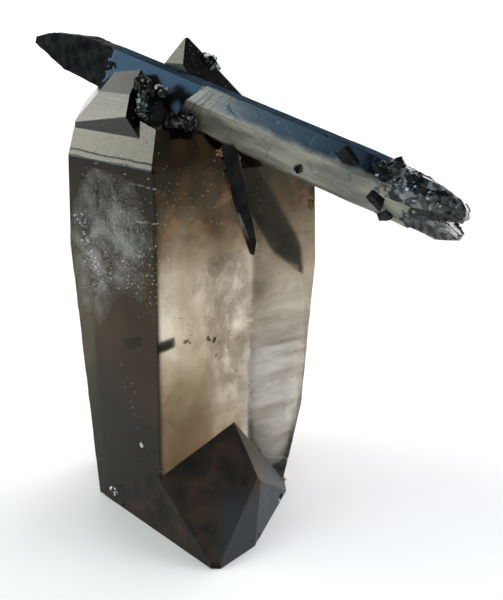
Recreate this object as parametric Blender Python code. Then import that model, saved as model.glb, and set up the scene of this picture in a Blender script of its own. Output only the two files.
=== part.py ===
"""Smoky quartz crystal with dark aegirine crystals grown across its tip.

Units are metres, +Z is up and the quartz stands on its broken base at z = 0, with its long axis upright.
The sizes named below are in millimetres, and MM turns them into metres where a shape is made.
A flat face of a crystal is a facet: (azimuth, elevation, distance). Azimuth 0 faces the front, -Y, and 90
faces +X. Elevation is how far the face's normal rises above level. Distance runs from the crystal's own
origin to the face. A crystal is what its facets leave of a block.
"""

import math
import random

import bmesh
import bpy
from mathutils import Matrix, Vector

MM = 0.001
BLOCK = 200.0  # side of the block that the facets cut
GAP = 0.3  # clearance round each dark crystal that sits in the quartz
STEP = 0.12  # height of the growth steps between neighbouring quartz tips
PYRAMID = 38.2  # elevation of quartz's pyramid faces

# Quartz: distances of the six upright faces from the frame's axis
FRONT_LEFT = 12.03
FRONT_RIGHT = 7.03
RIGHT = 14.15
LEFT = 16.7
BACK_RIGHT = 13.1
BACK_LEFT = 11.1

# Quartz: the pyramid faces that its tips share
SLOPE_FRONT_RIGHT = (30, PYRAMID, 36.2)
SLOPE_RIGHT = (90, 48, 44.8)
SLOPE_BACK_RIGHT = (150, PYRAMID, 39.5)
SLOPE_BACK_LEFT = (-150, PYRAMID, 41.6)
SLOPE_LEFT = (-90, PYRAMID, 41.3)
NOTCH_FLOOR = (57, 77.6, 52.35)  # level with the bar's underside
NOTCH_FRONT = 4.7  # the notch for the bar lies between these two distances on the front left side
NOTCH_BACK = 1.9

PRISM = [
    (-30, 0, FRONT_LEFT),
    (30, 0, FRONT_RIGHT),
    (90, 0, RIGHT),
    (150, 0, BACK_RIGHT),
    (-150, 0, BACK_LEFT),
    (-90, 0, LEFT),
]
TAPER = [(-90, 3.9, 19.17), (-90, -2.2, 15.06), (90, 5.5, 17.6), (85, -7, 12.3)]
TRUNK = PRISM + TAPER + [
    (-30, PYRAMID, 40.25),
    (-90, 40.6, 46.5),
    SLOPE_FRONT_RIGHT,
    SLOPE_RIGHT,
    SLOPE_BACK_RIGHT,
    SLOPE_BACK_LEFT,
    NOTCH_FLOOR,
    (0, -90, 0),
]
MAIN_TIP = [
    (-30, 0, NOTCH_BACK),
    (-30, PYRAMID, 38.53),
    (30, 0, FRONT_RIGHT - STEP),
    (30, PYRAMID, 36.2 - STEP),
    (90, 48, 44.8 - STEP),
    (90, 5.5, 17.6 - STEP),
    (150, 0, BACK_RIGHT - STEP),
    (150, PYRAMID, 39.5 - STEP),
    (-150, 0, BACK_LEFT - STEP),
    (-150, PYRAMID, 41.6 - STEP),
    (-90, 3.9, 19.17 - STEP),
    SLOPE_LEFT,
    (0, -90, -40),
]
FRONT_TIP = [
    (-30, 0, 9.83),
    (-39, 40.7, 43.5),
    (-39.5, 50, 49.0),
    (38, 40, 34.9),
    (30, 0, 4.6),
    (150, 0, -NOTCH_FRONT),
    (-71.0, 43.4, 47.84),
    (-90, 40.6, 47.5),
    (-90, 3.9, 19.17 - STEP),
    (0, -90, -44),
]
BROKEN_ROOT = [
    (-35.8, 7, 12.95),
    (2, 42, 13.74),
    (42.4, 17.5, 15.1),
    (95, 31, 10.8),
    (67, 8, 12.9),
    (180, 0, 2),
    (-90, 0, 14.2),
    (0, -90, 0),
]
QUARTZ_TIPS = {
    "main_tip": MAIN_TIP,
    "front_tip": FRONT_TIP,
    "broken_root": BROKEN_ROOT,
}

# Aegirine bar: its long axis dips to the right and comes towards the front
BAR_CENTRE = (-2.14, -2.0, 56.1)
BAR_TURN = 33.0
BAR_DIP = 12.4
BAR_LEFT_END = 26.6
BAR_RIGHT_END = 34.2

SMOOTH_HALF = [
    (-12.5, 0, 1.15),
    (-86, 0, 2.45),
    (93, 0, 2.42),
    (168, 0, 1.5),
    (-145, 0, 2.45),
    (-90, -10.7, 5.6),
    (-90, -21.9, 9.85),
    (90, -12.1, 6.65),
    (-5, -4.3, 2.3),
    (175, -4.3, 2.6),
    (-60, -75, BAR_LEFT_END - 0.9),
    (90, 56.3, 1.7),
]
RIBBED_HALF = [
    (-36.7, 0, 2.0),
    (15.3, 0, 1.76),
    (52, 0, 2.55),
    (-88, 0, 2.6),
    (91, 0, 2.75),
    (-156.7, 0, 1.95),
    (164.6, 0, 1.9),
    (-90, -54, -0.4),
    (90, -60, 0.65),
    (-108, 15.3, 10.2),
    (-108, 38.7, 21.8),
    (-108, 61, 29.85),
    (150, 52, 27.6),
    (-150, 50, 26.6),
    (72, 22.2, 14.6),
    (30, 85, BAR_RIGHT_END - 0.3),
]
# The notch in the bar's broken right end
BAR_NOTCH = [(-90, -14, 0.05), (90, -20, 0.1), (0, 0, 6), (180, 0, 6), (0, 90, 6), (0, -90, 0)]


def facet_normal(azimuth, elevation):
    turn, rise = math.radians(azimuth), math.radians(elevation)
    return Vector((math.sin(turn) * math.cos(rise), -math.cos(turn) * math.cos(rise), math.sin(rise)))


def crystal_mesh(name, facets, grow):
    """A closed convex crystal: a block cut by each facet, with the facets moved out by grow."""
    bm = bmesh.new()
    bmesh.ops.create_cube(bm, size=BLOCK * MM)
    for azimuth, elevation, distance in facets:
        normal = facet_normal(azimuth, elevation)
        cut = bmesh.ops.bisect_plane(
            bm,
            geom=bm.verts[:] + bm.edges[:] + bm.faces[:],
            dist=1e-7,
            plane_co=normal * (distance + grow) * MM,
            plane_no=normal,
            clear_outer=True,
        )
        rim = [part for part in cut["geom_cut"] if isinstance(part, bmesh.types.BMEdge)]
        if rim:
            bmesh.ops.edgeloop_fill(bm, edges=rim)
    bmesh.ops.remove_doubles(bm, verts=bm.verts, dist=1e-6)
    bmesh.ops.recalc_face_normals(bm, faces=bm.faces)
    mesh = bpy.data.meshes.new(name)
    bm.to_mesh(mesh)
    bm.free()
    return mesh


def axis_frame(along, front):
    """The turn that sends a crystal's own Z to along and its azimuth 0 as near to front as it can."""
    z = Vector(along).normalized()
    y = -(Vector(front) - Vector(front).dot(z) * z).normalized()
    return Matrix((y.cross(z), y, z)).transposed()


BAR_AXIS = Vector(
    (
        math.cos(math.radians(BAR_TURN)) * math.cos(math.radians(BAR_DIP)),
        -math.sin(math.radians(BAR_TURN)) * math.cos(math.radians(BAR_DIP)),
        -math.sin(math.radians(BAR_DIP)),
    )
)
BAR_FRONT = Vector((-math.sin(math.radians(BAR_TURN)), -math.cos(math.radians(BAR_TURN)), 0))
BAR_FRAME = axis_frame(BAR_AXIS, BAR_FRONT)


def on_bar(along, front, up):
    """A point by its place along the bar from its centre, in front of its axis and above it."""
    above = BAR_AXIS.cross(-BAR_FRONT)
    return Vector(BAR_CENTRE) + along * BAR_AXIS + front * BAR_FRONT + up * above


def shard(seed, radius, length):
    """Facets of a small uneven crystal: its origin is the middle of its foot and it points along its own Z."""
    draw = random.Random(seed)
    walls = []
    for side in range(6):
        azimuth = 60.0 * side + draw.uniform(-17, 17)
        walls.append((azimuth, draw.uniform(-3, 9), radius * draw.uniform(0.6, 1.0)))
    point = []
    for azimuth in (draw.uniform(0, 90), draw.uniform(120, 210), draw.uniform(240, 330)):
        elevation = draw.uniform(38, 74)
        point.append((azimuth, elevation, length * math.sin(math.radians(elevation)) * draw.uniform(0.8, 1.0)))
    return walls + point + [(0, -90, 0.0)]


# Small crystals on the bar: (along, front, up), facets, direction of growth
BAR_CRYSTALS = [
    (on_bar(20.2, 0.7, 1.8), shard(1, 1.05, 3.3), (0.55, -0.55, -0.8)),
    (on_bar(24.4, 0.6, 1.4), shard(2, 1.1, 2.3), (0.2, -0.9, -0.3)),
    (on_bar(25.3, -0.2, 1.8), shard(3, 1.0, 2.0), (0.5, -0.6, 0.6)),
    (on_bar(26.7, 0.0, 1.4), shard(4, 1.0, 2.4), (0.5, -0.8, 0.4)),
    (on_bar(24.9, 0.6, -0.6), shard(5, 1.15, 2.2), (0.1, -0.9, -0.3)),
    (on_bar(26.0, 0.3, -1.7), shard(6, 1.0, 2.0), (0.2, -0.7, -0.7)),
    (on_bar(28.2, 0.4, 0.7), shard(7, 1.2, 3.2), (0.9, -0.75, 0.0)),
    (on_bar(28.6, 0.4, -1.1), shard(8, 1.1, 3.4), (0.9, -0.6, -0.3)),
    (on_bar(30.4, 0.2, 0.2), shard(9, 1.1, 2.6), (0.8, -0.75, -0.1)),
]
BAR_NOTCH_FOOT = on_bar(31.7, 0, -0.35)

NEEDLE = [
    (0, 0, 0.62),
    (55, 0, 0.8),
    (125, 0, 0.8),
    (180, 0, 0.6),
    (-125, 0, 0.78),
    (-55, 0, 0.8),
    (85, 6.5, 1.6),
    (60, 14, 3.4),
    (10, 9, 2.35),
    (-100, 12, 2.95),
    (0, 80, 13.6),
    (0, -90, 0.0),
]
NEEDLE_FOOT = (2.7, -6.95, 52.4)
NEEDLE_TIP = (5.95, -5.35, 39.0)

BLADE = [
    (0, 0, 0.9),
    (70, 0, 1.9),
    (110, 0, 1.85),
    (180, 0, 0.9),
    (-110, 0, 1.8),
    (-70, 0, 1.7),
    (80, 17, 6.9),
    (-80, 24, 9.3),
    (0, 12, 5.2),
    (0, -90, 0.0),
]
BLADE_FOOT = (0.9, -2.9, 53.2)
BLADE_TIP = (11.5, 3.2, 34.9)

TIP_CRYSTALS = [
    ((-7.2, -2.9, 57.0), shard(11, 1.0, 2.9), (0.05, -0.6, 0.8)),
    ((-6.5, -4.2, 56.4), shard(12, 1.05, 2.4), (0.3, -0.7, 0.6)),
    ((-6.6, -4.7, 55.7), shard(13, 1.1, 2.3), (0.0, -0.9, 0.2)),
    ((-5.9, -4.2, 56.6), shard(14, 0.95, 2.2), (0.7, -0.5, 0.5)),
    ((-6.9, -5.1, 54.9), shard(15, 0.9, 1.9), (0.2, -0.9, -0.1)),
]
NOTCH_CRYSTALS = [
    ((-4.0, -4.6, 53.7), shard(21, 1.0, 2.1), (0.0, -0.8, 0.6)),
    ((-3.1, -4.4, 53.7), shard(22, 1.15, 2.2), (0.0, -0.8, 0.5)),
    ((-2.2, -4.0, 53.6), shard(23, 1.1, 2.1), (0.2, -0.85, 0.35)),
    ((-3.5, -4.8, 52.9), shard(24, 1.05, 1.9), (0.0, -0.9, 0.0)),
    ((-2.6, -4.5, 52.9), shard(25, 1.1, 1.8), (0.1, -0.9, -0.1)),
]
REAR_CRYSTALS = [
    ((-1.0, 2.2, 59.7), shard(31, 0.8, 1.9), (0.3, -0.3, 0.9)),
    ((-0.3, 2.0, 59.2), shard(32, 0.95, 1.7), (0.5, -0.4, 0.7)),
]

# Chips out of the quartz: a point just inside an edge, radius, depth, direction out of the stone
CHIPS = [
    ((-10.4, -8.6, 0.3), 0.9, 1.3, (-0.7, -0.6, 0.3)),
    ((-8.2, -10.2, 0.2), 0.7, 1.2, (-0.5, -0.8, 0.2)),
    ((3.2, -17.8, 0.3), 0.9, 1.6, (0.0, -1.0, 0.3)),
    ((8.5, -12.9, 0.4), 0.8, 1.4, (0.9, -0.4, 0.2)),
    ((11.4, -4.9, 0.5), 0.8, 1.4, (0.9, -0.3, 0.4)),
    ((12.6, -0.2, 44.4), 0.7, 1.2, (0.8, -0.5, 0.2)),
    ((12.6, 0.0, 46.2), 0.6, 1.3, (0.9, -0.4, 0.3)),
    ((12.3, 1.4, 47.5), 0.9, 1.3, (0.7, -0.2, 0.7)),
    ((13.4, 6.4, 31.0), 0.6, 1.2, (0.8, 0.6, 0.0)),
    ((2.0, 13.5, 22.0), 0.6, 1.2, (0.1, 1.0, 0.1)),
    ((2.0, 13.5, 24.0), 0.8, 1.1, (-0.1, 1.0, 0.2)),
    ((2.0, 13.4, 0.4), 1.1, 1.6, (0.0, 1.0, 0.2)),
    ((-14.6, 3.6, 0.3), 0.9, 1.5, (-0.8, 0.6, 0.2)),
    ((-16.2, 3.0, 36.0), 0.5, 1.1, (-0.9, 0.5, 0.0)),
    ((12.1, 6.4, 0.4), 0.9, 1.5, (0.8, 0.6, 0.2)),
]
# Growth layers on the sides and back: lowest and highest level, rise above the faces around them
LAYERS = [(5.5, 9.0, 0.1), (15.0, 16.6, 0.14), (19.5, 25.0, 0.08), (29.0, 30.2, 0.16), (34.0, 39.0, 0.1)]


def layer(low, high, rise):
    """Facets of a slice of the prism that stands proud of its sides and back, with slightly sloping ends."""
    facets = [(azimuth, 0, distance + (rise if abs(azimuth) > 30 else -rise)) for azimuth, _, distance in PRISM]
    facets += [(azimuth, elevation, distance + rise) for azimuth, elevation, distance in TAPER]
    return facets + [(70, 86, high), (-110, -86, -low)]


def material(name, colour, roughness):
    mat = bpy.data.materials.new(name)
    mat.use_nodes = True
    shader = mat.node_tree.nodes["Principled BSDF"]
    shader.inputs["Base Color"].default_value = (*colour, 1.0)
    shader.inputs["Roughness"].default_value = roughness
    shader.inputs["Metallic"].default_value = 0.0
    return mat


def crystal(name, facets, origin=(0, 0, 0), frame=None, grow=0.0):
    obj = bpy.data.objects.new(name, crystal_mesh(name, facets, grow))
    bpy.context.scene.collection.objects.link(obj)
    obj.location = Vector(origin) * MM
    if frame is not None:
        obj.rotation_euler = frame.to_euler()
    return obj


def combine(obj, other, operation):
    """Joins another crystal to obj, or cuts it away, and leaves that crystal as a guide."""
    other.hide_render = True
    other.display_type = "WIRE"
    modifier = obj.modifiers.new(other.name, "BOOLEAN")
    modifier.operation = operation
    modifier.object = other
    modifier.solver = "EXACT"


def aegirine_groups():
    """Each dark piece as the crystals that make it: (facets, origin, frame)."""
    bar = [(SMOOTH_HALF, BAR_CENTRE, BAR_FRAME), (RIBBED_HALF, BAR_CENTRE, BAR_FRAME)]
    needle_frame = axis_frame(Vector(NEEDLE_TIP) - Vector(NEEDLE_FOOT), facet_normal(30, 0))
    blade_frame = axis_frame(Vector(BLADE_TIP) - Vector(BLADE_FOOT), facet_normal(20, 0))
    groups = {
        "aegirine_bar": bar,
        "aegirine_needle": [(NEEDLE, NEEDLE_FOOT, needle_frame)],
        "aegirine_blade": [(BLADE, BLADE_FOOT, blade_frame)],
        "aegirine_cluster_tip": [],
        "aegirine_cluster_notch": [],
        "aegirine_cluster_rear": [],
    }
    scattered = {
        "aegirine_bar": BAR_CRYSTALS,
        "aegirine_cluster_tip": TIP_CRYSTALS,
        "aegirine_cluster_notch": NOTCH_CRYSTALS,
        "aegirine_cluster_rear": REAR_CRYSTALS,
    }
    for name, crystals in scattered.items():
        for foot, facets, direction in crystals:
            groups[name].append((facets, foot, axis_frame(direction, BAR_FRONT)))
    return groups


def build_group(name, crystals):
    facets, origin, frame = crystals[0]
    obj = crystal(name, facets, origin, frame)
    for number, (facets, origin, frame) in enumerate(crystals[1:], 2):
        combine(obj, crystal(f"{name}_{number}", facets, origin, frame), "UNION")
    return obj


def cut_clear(obj, crystals, label):
    """Cuts a socket in obj for each of the crystals, wider than they are by the gap."""
    for number, (facets, origin, frame) in enumerate(crystals, 1):
        combine(obj, crystal(f"{label}_{number}", facets, origin, frame, grow=GAP), "DIFFERENCE")


def build():
    for old in list(bpy.data.objects):
        bpy.data.objects.remove(old)
    smoky = material("smoky_quartz", (0.30, 0.22, 0.15), 0.08)
    dark = material("aegirine", (0.02, 0.03, 0.025), 0.25)

    quartz = crystal("smoky_quartz", TRUNK)
    quartz.data.materials.append(smoky)
    for name, facets in QUARTZ_TIPS.items():
        combine(quartz, crystal(name, facets), "UNION")
    for number, (low, high, rise) in enumerate(LAYERS, 1):
        combine(quartz, crystal(f"growth_layer_{number}", layer(low, high, rise)), "UNION")
    for number, (point, radius, depth, direction) in enumerate(CHIPS, 1):
        frame = axis_frame(direction, (0.3, 0.2, 1.0))
        combine(quartz, crystal(f"chip_{number}", shard(40 + number, radius, depth), point, frame), "DIFFERENCE")

    groups = aegirine_groups()
    for name, crystals in groups.items():
        piece = build_group(name, crystals)
        if name == "aegirine_bar":
            combine(piece, crystal("bar_end_notch", BAR_NOTCH, BAR_NOTCH_FOOT, BAR_FRAME), "DIFFERENCE")
        piece.data.materials.append(dark)
        if name != "aegirine_bar":
            cut_clear(piece, groups["aegirine_bar"], f"{name}_bar_socket")
        cut_clear(quartz, crystals, f"{name}_socket")


build()
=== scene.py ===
import math
import random

import bmesh
import bpy
from mathutils import Matrix, Vector, noise


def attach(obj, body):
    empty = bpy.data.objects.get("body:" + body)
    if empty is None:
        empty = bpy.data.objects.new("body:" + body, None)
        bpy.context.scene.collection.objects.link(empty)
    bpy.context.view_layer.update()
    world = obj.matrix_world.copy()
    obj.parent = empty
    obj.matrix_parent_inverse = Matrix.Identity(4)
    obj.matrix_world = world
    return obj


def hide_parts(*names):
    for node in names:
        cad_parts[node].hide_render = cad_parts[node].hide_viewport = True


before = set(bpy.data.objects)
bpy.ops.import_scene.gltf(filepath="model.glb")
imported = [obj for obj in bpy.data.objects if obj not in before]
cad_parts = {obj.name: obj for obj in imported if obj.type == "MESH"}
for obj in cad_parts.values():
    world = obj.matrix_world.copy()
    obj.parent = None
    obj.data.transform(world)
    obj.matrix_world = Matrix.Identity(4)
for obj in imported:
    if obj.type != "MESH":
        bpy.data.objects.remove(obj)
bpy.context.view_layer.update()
print("frame loaded:", sorted(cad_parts))

mm = 0.001  # all sizes and places below are in millimetres, all angles in degrees


def meshPiece(name, bm, *finishes):
    piece = bpy.data.objects.new(name, bpy.data.meshes.new(name))
    bm.to_mesh(piece.data)
    bm.free()
    for finish in finishes:
        piece.data.materials.append(finish)
    bpy.context.scene.collection.objects.link(piece)
    return piece


# shader helpers
class Wiring:
    def __init__(self, owner, mainNode):
        owner.use_nodes = True
        self.owner = owner
        self.nodes = owner.node_tree.nodes
        self.links = owner.node_tree.links
        self.main = self.nodes[mainNode]

    def feed(self, socket, value):
        if isinstance(value, bpy.types.NodeSocket):
            self.links.new(value, socket)
        elif isinstance(value, tuple) and len(value) == 3 and socket.type == "RGBA":
            socket.default_value = (*value, 1)
        else:
            socket.default_value = value

    def put(self, socketName, value):
        self.feed(self.main.inputs[socketName], value)

    def math(self, operation, first, second=0.0, third=0.0):
        node = self.nodes.new("ShaderNodeMath")
        node.operation = operation
        for socket, value in zip(node.inputs, (first, second, third)):
            self.feed(socket, value)
        return node.outputs[0]

    def times(self, first, second):
        return self.math("MULTIPLY", first, second)

    def vectorMath(self, operation, *values):
        node = self.nodes.new("ShaderNodeVectorMath")
        node.operation = operation
        for socket, value in zip(node.inputs, values):
            self.feed(socket, value)
        return node.outputs

    def place(self, turn=(0, 0, 0), shift=(0, 0, 0)):  # object coordinates in millimetres
        source = self.nodes.new("ShaderNodeTexCoord")
        mapping = self.nodes.new("ShaderNodeMapping")
        mapping.inputs["Rotation"].default_value = turn
        mapping.inputs["Location"].default_value = shift
        mapping.inputs["Scale"].default_value = (1 / mm, 1 / mm, 1 / mm)
        self.links.new(source.outputs["Object"], mapping.inputs[0])
        return mapping.outputs[0]

    def stretch(self, vector, scale):
        mapping = self.nodes.new("ShaderNodeMapping")
        mapping.inputs["Scale"].default_value = scale
        self.links.new(vector, mapping.inputs[0])
        return mapping.outputs[0]

    def split(self, vector):
        node = self.nodes.new("ShaderNodeSeparateXYZ")
        self.links.new(vector, node.inputs[0])
        return node.outputs

    def along(self, vector, direction):
        return self.vectorMath("DOT_PRODUCT", vector, direction)["Value"]

    def rescale(self, value, before, after=(0.0, 1.0), curve="LINEAR"):
        node = self.nodes.new("ShaderNodeMapRange")
        node.interpolation_type = curve
        self.feed(node.inputs["Value"], value)
        node.inputs["From Min"].default_value, node.inputs["From Max"].default_value = before
        node.inputs["To Min"].default_value, node.inputs["To Max"].default_value = after
        return node.outputs[0]

    def fade(self, value, low, high):  # falls where low is the larger of the two
        if low < high:
            return self.rescale(value, (low, high), (0.0, 1.0), "SMOOTHSTEP")
        return self.rescale(value, (high, low), (1.0, 0.0), "SMOOTHSTEP")

    def band(self, value, centre, half):
        return self.fade(self.math("ABSOLUTE", self.math("SUBTRACT", value, centre)), half, 0.0)

    def noise(self, vector, scale, detail=3.0, rough=0.5, warp=0.0):
        node = self.nodes.new("ShaderNodeTexNoise")
        self.links.new(vector, node.inputs["Vector"])
        node.inputs["Scale"].default_value = scale
        node.inputs["Detail"].default_value = detail
        node.inputs["Roughness"].default_value = rough
        node.inputs["Distortion"].default_value = warp
        return node.outputs["Fac"]

    def voronoi(self, vector, scale):
        node = self.nodes.new("ShaderNodeTexVoronoi")
        self.links.new(vector, node.inputs["Vector"])
        node.inputs["Scale"].default_value = scale
        return node.outputs

    def cells(self, vector, scale):
        return self.split(self.voronoi(vector, scale)["Color"])[0]

    def dots(self, vector, scale):
        return self.voronoi(vector, scale)["Distance"]

    def facetted(self, vector, scale, tilt):  # a normal that leans another way in each cell
        lean = self.vectorMath("SUBTRACT", self.voronoi(vector, scale)["Color"], (0.5, 0.5, 0.5))["Vector"]
        normal = self.nodes.new("ShaderNodeNewGeometry").outputs["Normal"]
        turned = self.vectorMath("MULTIPLY_ADD", lean, (tilt, tilt, tilt), normal)["Vector"]
        return self.vectorMath("NORMALIZE", turned)["Vector"]

    def mix(self, share, first, second, blend="MIX"):
        node = self.nodes.new("ShaderNodeMix")
        node.data_type = "RGBA"
        node.blend_type = blend
        self.feed(node.inputs[0], share)
        self.feed(node.inputs[6], first)
        self.feed(node.inputs[7], second)
        return node.outputs[2]

    def ramp(self, value, stops):  # a ramp is made with two stops, so the lowest and the highest come first
        node = self.nodes.new("ShaderNodeValToRGB")
        self.links.new(value, node.inputs[0])
        marks = node.color_ramp.elements
        for number, (position, colour) in enumerate(stops):
            mark = marks[number] if number < 2 else marks.new(position)
            mark.position, mark.color = position, (*colour, 1)
        return node.outputs[0]

    def bump(self, height, strength, depth):
        node = self.nodes.new("ShaderNodeBump")
        node.inputs["Strength"].default_value = strength
        node.inputs["Distance"].default_value = depth * mm
        self.links.new(height, node.inputs["Height"])
        return node.outputs[0]


def newFinish(name, evenValues):
    w = Wiring(bpy.data.materials.new(name), "Principled BSDF")
    for socketName, value in evenValues.items():
        w.put(socketName, value)
    return w


# camera, light and floor
cameraSet = {
    "place": (6.067, -73.0, 64.54), "pitch": 25.0, "roll": 2.95008,
    "lens": 35.58, "sensor": 36.0, "nearest": 2.0,
}


def addCamera(settings):
    pitch, roll = math.radians(settings["pitch"]), math.radians(settings["roll"])
    ahead = Vector((0, math.cos(pitch), -math.sin(pitch)))
    level, up = Vector((1, 0, 0)), Vector((0, math.sin(pitch), math.cos(pitch)))
    side = math.cos(roll) * level + math.sin(roll) * up
    top = math.cos(roll) * up - math.sin(roll) * level
    data = bpy.data.cameras.new("photoCamera")
    data.lens = settings["lens"]
    data.sensor_width = settings["sensor"]
    data.clip_start = settings["nearest"] * mm
    camera = bpy.data.objects.new("photoCamera", data)
    turn = Matrix((side, top, -ahead)).transposed().to_4x4()
    camera.matrix_world = Matrix.Translation(Vector(settings["place"]) * mm) @ turn
    bpy.context.scene.collection.objects.link(camera)
    bpy.context.scene.camera = camera


lightTarget = (0, 0, 40)
lightSet = {
    # direction towards the light, distance, width, height, brightness at its middle, colour, spread
    "overheadBox": ((-0.75, 0.06, 0.66), 420, 250, 230, 5.4, (1.0, 1.0, 0.84), 100),
    "skyWindow": ((-0.92, -0.31, 0.25), 460, 260, 170, 2.3, (0.16, 0.55, 1.0), 60),
    "zenithWindow": ((-0.53, -0.20, 0.82), 420, 180, 150, 1.95, (0.35, 0.68, 1.0), 80),
}


def addAreaLight(name, direction, distance, width, height, brightness, colour, spread):
    data = bpy.data.lights.new(name, "AREA")
    data.shape = "RECTANGLE"
    data.size, data.size_y = width * mm, height * mm
    half = math.radians(spread) / 2
    data.energy = brightness * math.pi * data.size * data.size_y * (1 - half / math.tan(half))
    data.color = colour
    data.spread = math.radians(spread)
    light = bpy.data.objects.new(name, data)
    toLight = Vector(direction).normalized()
    light.location = (Vector(lightTarget) + toLight * distance) * mm
    light.rotation_euler = toLight.to_track_quat("Z", "Y").to_euler()
    bpy.context.scene.collection.objects.link(light)


worldSet = {
    # height of the direction and brightness there, the lowest and the highest first
    "levels": [(0.0, 1.3), (1.0, 0.05), (0.16, 2.6), (0.55, 2.2), (0.74, 0.10)],
    "blueGain": 1.02,
    # the front of the room is darker, from just above the horizon up
    "frontSide": (0.15, -0.25), "aboveHorizon": (0.02, 0.12), "frontShade": 0.13,
    "rightSide": (0.1, 0.6), "rightGain": 2.6,
}


def addWorld(settings):
    w = Wiring(bpy.data.worlds.new("studio"), "Background")
    bpy.context.scene.world = w.owner
    x, y, height = w.split(w.nodes.new("ShaderNodeTexCoord").outputs["Generated"])
    stops = [(at, (level, level, level * settings["blueGain"])) for at, level in settings["levels"]]
    w.put("Color", w.ramp(height, stops))
    inFront = w.times(w.rescale(y, settings["frontSide"]), w.rescale(height, settings["aboveHorizon"]))
    dimmer = w.rescale(inFront, (0.0, 1.0), (1.0, settings["frontShade"]))
    w.put("Strength", w.times(dimmer, w.rescale(x, settings["rightSide"], (1.0, settings["rightGain"]))))


floorSet = {"radius": 320, "corners": 96, "colour": (0.97, 0.97, 0.97), "roughness": 0.9, "gloss": 0.1}


def addFloor(settings):
    paper = newFinish("paleFloor", {
        "Base Color": settings["colour"], "Roughness": settings["roughness"],
        "Specular IOR Level": settings["gloss"],
    })
    bm = bmesh.new()
    bmesh.ops.create_circle(bm, cap_ends=True, segments=settings["corners"], radius=settings["radius"] * mm)
    floor = meshPiece("floor", bm, paper.owner)


addCamera(cameraSet)
addWorld(worldSet)
for lightName, values in lightSet.items():
    addAreaLight(lightName, *values)
addFloor(floorSet)
bpy.context.scene.view_settings.view_transform = "Standard"
bpy.context.scene.cycles.transparent_max_bounces = 24  # the haze sheets lie one behind another
bpy.context.scene.cycles.transmission_bounces = 14
print("camera, light and floor ready")


# crystals cut from a block; a facet is its azimuth, its elevation and its distance from the origin
def facetNormal(azimuth, elevation):
    turn, rise = math.radians(azimuth), math.radians(elevation)
    return Vector((math.sin(turn) * math.cos(rise), -math.cos(turn) * math.cos(rise), math.sin(rise)))


def axisFrame(along, front):
    z = Vector(along).normalized()
    y = -(Vector(front) - Vector(front).dot(z) * z).normalized()
    return Matrix((y.cross(z), y, z)).transposed()


def allOf(bm):
    return bm.verts[:] + bm.edges[:] + bm.faces[:]


def cutAway(bm, point, normal):
    cut = bmesh.ops.bisect_plane(
        bm, geom=allOf(bm), dist=1e-8, plane_co=point, plane_no=normal, clear_outer=True
    )
    rim = [part for part in cut["geom_cut"] if isinstance(part, bmesh.types.BMEdge)]
    if rim:
        bmesh.ops.edgeloop_fill(bm, edges=rim)


def growCrystal(bm, facets, origin=(0, 0, 0), turn=Matrix.Identity(3), rounding=0.0):
    solid = bmesh.new()
    bmesh.ops.create_cube(solid, size=200 * mm)
    start = Vector(origin) * mm
    bmesh.ops.rotate(solid, verts=solid.verts, cent=(0, 0, 0), matrix=turn)
    bmesh.ops.translate(solid, verts=solid.verts, vec=start)
    for azimuth, elevation, distance in facets:
        normal = turn @ facetNormal(azimuth, elevation)
        cutAway(solid, start + normal * distance * mm, normal)
    bmesh.ops.remove_doubles(solid, verts=solid.verts, dist=2e-6)
    if rounding:
        bmesh.ops.bevel(
            solid, geom=solid.edges[:], offset=rounding * mm, offset_type="OFFSET", segments=1, profile=0.5,
            affect="EDGES", material=-1, clamp_overlap=True,
        )
    bmesh.ops.recalc_face_normals(solid, faces=solid.faces)
    held = bpy.data.meshes.new("held")
    solid.to_mesh(held)
    solid.free()
    bm.from_mesh(held)
    bpy.data.meshes.remove(held)


def solidObject(name, facets, origin=(0, 0, 0), turn=Matrix.Identity(3), rounding=0.0):
    bm = bmesh.new()
    growCrystal(bm, facets, origin, turn, rounding)
    return meshPiece(name, bm)


def fuse(piece, added=(), removed=()):
    for other, operation in [(o, "UNION") for o in added] + [(o, "DIFFERENCE") for o in removed]:
        modifier = piece.modifiers.new(other.name, "BOOLEAN")
        modifier.operation = operation
        modifier.object = other
        modifier.solver = "EXACT"
    bpy.context.view_layer.update()
    done = bpy.data.meshes.new_from_object(piece.evaluated_get(bpy.context.evaluated_depsgraph_get()))
    piece.modifiers.clear()
    piece.data = done
    done.name = piece.name
    for other in list(added) + list(removed):
        bpy.data.objects.remove(other)
    return piece


shardSet = {
    # walls: azimuth away from an even hexagon, lean, share of the radius
    "wobble": 17, "lean": (-3, 9), "radiusShare": (0.6, 1.0),
    # faces of the point: azimuth, elevation, share of the length
    "pointAzimuths": [(0, 90), (120, 210), (240, 330)], "pointElevation": (38, 74),
    "lengthShare": (0.8, 1.0),
}


def shard(seed, radius, length):
    draw = random.Random(seed)
    facets = []
    for side in range(6):
        azimuth = 60.0 * side + draw.uniform(-shardSet["wobble"], shardSet["wobble"])
        lean = draw.uniform(*shardSet["lean"])
        facets.append((azimuth, lean, radius * draw.uniform(*shardSet["radiusShare"])))
    for azimuth in [draw.uniform(*span) for span in shardSet["pointAzimuths"]]:
        elevation = draw.uniform(*shardSet["pointElevation"])
        reach = length * math.sin(math.radians(elevation)) * draw.uniform(*shardSet["lengthShare"])
        facets.append((azimuth, elevation, reach))
    return facets + [(0, -90, 0.0)]


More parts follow.
